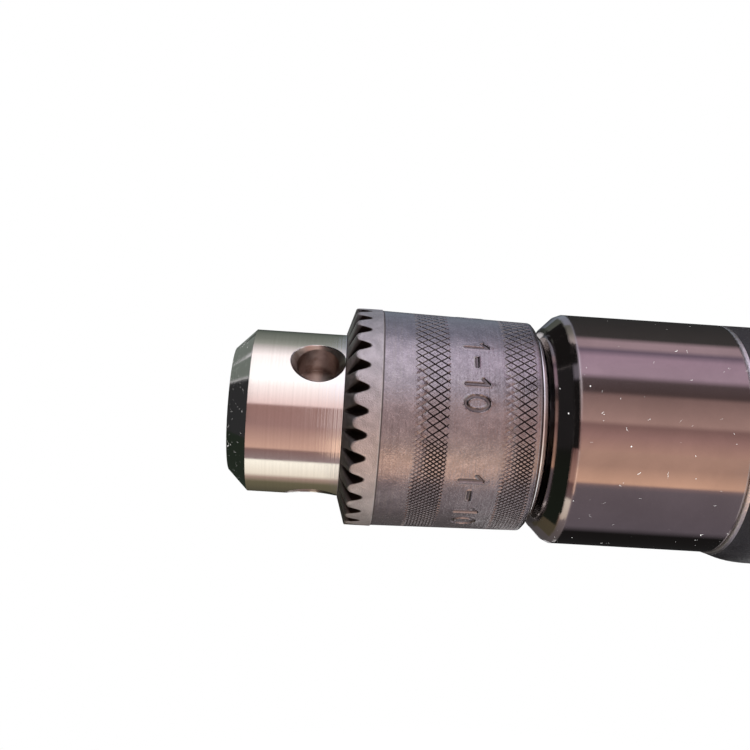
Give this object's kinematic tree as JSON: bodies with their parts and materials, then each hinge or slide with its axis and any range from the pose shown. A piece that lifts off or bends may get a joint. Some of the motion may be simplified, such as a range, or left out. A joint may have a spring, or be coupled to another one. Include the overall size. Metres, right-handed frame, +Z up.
{
  "type": "pneumatic drill",
  "caption": "Pistol-grip air drill: keyed three-jaw chuck, toothed sleeve, polished gear case, planetary gears, vane motor, sprung trigger, reversing spool and turning exhaust deflector.",
  "frame": {"origin": "on the spindle axis, at the centre of the floor of the chuck's shank bore", "axes": "+X from the chuck back along the spindle, +Z up, with the grip hanging towards -Z; the picture looks along +Y"},
  "size_m": [0.1658, 0.0424, 0.1561],
  "materials": {
    "bright_steel": "turned bright steel with fine turning lines",
    "sleeve_steel": "satin dark steel with a blasted grey toothed ring and knurled bands",
    "tool_steel": "dark hardened tool steel",
    "ground_steel": "ground steel",
    "gear_steel": "machined and oiled alloy steel",
    "bearing_ball": "polished bearing steel",
    "cast_grey": "honed cast iron",
    "plate_aluminium": "turned aluminium",
    "spring_steel": "spring steel",
    "plated_plug": "zinc plated steel",
    "black_chrome": "polished black chrome",
    "black_housing": "black textured paint on die-cast aluminium, with a bare machined front rim",
    "brass": "turned brass or bronze",
    "black_rubber": "black nitrile rubber",
    "vane_composite": "brown resin fabric laminate",
    "black_trigger": "moulded black nylon",
    "red_button": "moulded red acetal",
    "black_plastic": "moulded black nylon"
  },
  "bodies": {
    "housing": {"motor_housing": "black_housing", "gear_case": "black_chrome", "dust_seal": "black_rubber", "bearing_spacer": "ground_steel", "ring_gear": "gear_steel", "front_bearing_outer": "ground_steel", "carrier_bearing_outer": "ground_steel", "motor_cylinder": "cast_grey", "front_end_plate": "plate_aluminium", "rear_end_plate": "plate_aluminium", "cylinder_dowels": "ground_steel", "rotor_front_bearing_outer": "ground_steel", "rotor_rear_bearing_outer": "ground_steel", "preload_washer": "spring_steel", "valve_seat": "brass", "valve_spring": "spring_steel", "valve_plug": "plated_plug", "plug_seal": "black_rubber", "reverse_bushing": "brass", "inlet_bushing": "ground_steel", "inlet_screen": "brass", "inlet_seal": "black_rubber"},
    "spindle": {"output_spindle": "ground_steel", "spindle_circlip": "tool_steel", "planet_pins": "ground_steel", "chuck_body": "bright_steel", "chuck_screw": "tool_steel", "front_bearing_inner": "ground_steel", "carrier_bearing_inner": "ground_steel"},
    "sleeve": {"chuck_sleeve": "sleeve_steel", "chuck_nut": "tool_steel"},
    "jaw_1": {"jaw_1": "tool_steel"},
    "jaw_2": {"jaw_2": "tool_steel"},
    "jaw_3": {"jaw_3": "tool_steel"},
    "planet_1": {"planet_gear_1": "gear_steel"},
    "planet_2": {"planet_gear_2": "gear_steel"},
    "planet_3": {"planet_gear_3": "gear_steel"},
    "rotor": {"rotor": "gear_steel", "rotor_vanes": "vane_composite", "rotor_front_bearing_inner": "ground_steel", "rotor_rear_bearing_inner": "ground_steel"},
    "front_cage": {"front_bearing_cage": "brass", "front_bearing_balls": "bearing_ball"},
    "carrier_cage": {"carrier_bearing_cage": "brass", "carrier_bearing_balls": "bearing_ball"},
    "rotor_front_cage": {"rotor_front_bearing_cage": "brass", "rotor_front_bearing_balls": "bearing_ball"},
    "rotor_rear_cage": {"rotor_rear_bearing_cage": "brass", "rotor_rear_bearing_balls": "bearing_ball"},
    "trigger": {"trigger": "black_trigger", "trigger_stem": "ground_steel", "throttle_valve": "brass"},
    "spool": {"reverse_spool": "ground_steel", "reverse_buttons": "red_button", "spool_seals": "black_rubber"},
    "deflector": {"exhaust_deflector": "black_plastic", "muffler": "brass"}
  },
  "joints": [
    {"name": "spindle_spin", "type": "hinge", "parent": "housing", "child": "spindle", "pos_m": [0, 0, 0], "axis": [1, 0, 0], "continuous": true},
    {"name": "sleeve_turn", "type": "hinge", "parent": "spindle", "child": "sleeve", "pos_m": [0, 0, 0], "axis": [1, 0, 0], "range_deg": [0, 2934]},
    {"name": "jaw_1_slide", "type": "slide", "parent": "spindle", "child": "jaw_1", "axis": [-0.9636, 0.2478, 0.1001], "range_m": [0, 0.01631]},
    {"name": "jaw_2_slide", "type": "slide", "parent": "spindle", "child": "jaw_2", "axis": [-0.9636, -0.2106, 0.1645], "range_m": [0, 0.01631]},
    {"name": "jaw_3_slide", "type": "slide", "parent": "spindle", "child": "jaw_3", "axis": [-0.9636, -0.0372, -0.2646], "range_m": [0, 0.01631]},
    {"name": "planet_1_spin", "type": "hinge", "parent": "spindle", "child": "planet_1", "pos_m": [0.037, 0, 0.0072], "axis": [1, 0, 0], "continuous": true},
    {"name": "planet_2_spin", "type": "hinge", "parent": "spindle", "child": "planet_2", "pos_m": [0.037, -0.00624, -0.0036], "axis": [1, 0, 0], "continuous": true},
    {"name": "planet_3_spin", "type": "hinge", "parent": "spindle", "child": "planet_3", "pos_m": [0.037, 0.00624, -0.0036], "axis": [1, 0, 0], "continuous": true},
    {"name": "rotor_spin", "type": "hinge", "parent": "housing", "child": "rotor", "pos_m": [0.09, 0, 0], "axis": [1, 0, 0], "continuous": true},
    {"name": "front_cage_roll", "type": "hinge", "parent": "housing", "child": "front_cage", "pos_m": [0.023, 0, 0], "axis": [1, 0, 0], "continuous": true},
    {"name": "carrier_cage_roll", "type": "hinge", "parent": "housing", "child": "carrier_cage", "pos_m": [0.05, 0, 0], "axis": [1, 0, 0], "continuous": true},
    {"name": "rotor_front_cage_roll", "type": "hinge", "parent": "housing", "child": "rotor_front_cage", "pos_m": [0.057, 0, 0], "axis": [1, 0, 0], "continuous": true},
    {"name": "rotor_rear_cage_roll", "type": "hinge", "parent": "housing", "child": "rotor_rear_cage", "pos_m": [0.125, 0, 0], "axis": [1, 0, 0], "continuous": true},
    {"name": "trigger_pull", "type": "slide", "parent": "housing", "child": "trigger", "axis": [1, 0, 0], "range_m": [0, 0.005], "stiffness_N_per_m": 900, "springref_m": -0.004, "deforming": ["valve_spring"]},
    {"name": "reverse_slide", "type": "slide", "parent": "housing", "child": "spool", "axis": [0, 1, 0], "range_m": [0, 0.005]},
    {"name": "deflector_turn", "type": "hinge", "parent": "housing", "child": "deflector", "pos_m": [0.10841, 0, -0.12398], "axis": [0.1392, 0, -0.9903], "continuous": true}
  ],
  "couplings": [
    {"joint": "jaw_1_slide", "follows": "sleeve_turn", "m_per_rad": 0.00031831},
    {"joint": "jaw_2_slide", "follows": "sleeve_turn", "m_per_rad": 0.00031831},
    {"joint": "jaw_3_slide", "follows": "sleeve_turn", "m_per_rad": 0.00031831},
    {"joint": "planet_1_spin", "follows": "spindle_spin", "ratio": -2.6},
    {"joint": "planet_2_spin", "follows": "spindle_spin", "ratio": -2.6},
    {"joint": "planet_3_spin", "follows": "spindle_spin", "ratio": -2.6},
    {"joint": "rotor_spin", "follows": "spindle_spin", "ratio": 5.3333},
    {"joint": "front_cage_roll", "follows": "spindle_spin", "ratio": 0.38018},
    {"joint": "carrier_cage_roll", "follows": "spindle_spin", "ratio": 0.4095},
    {"joint": "rotor_front_cage_roll", "follows": "spindle_spin", "ratio": 1.9282},
    {"joint": "rotor_rear_cage_roll", "follows": "spindle_spin", "ratio": 1.9282}
  ]
}
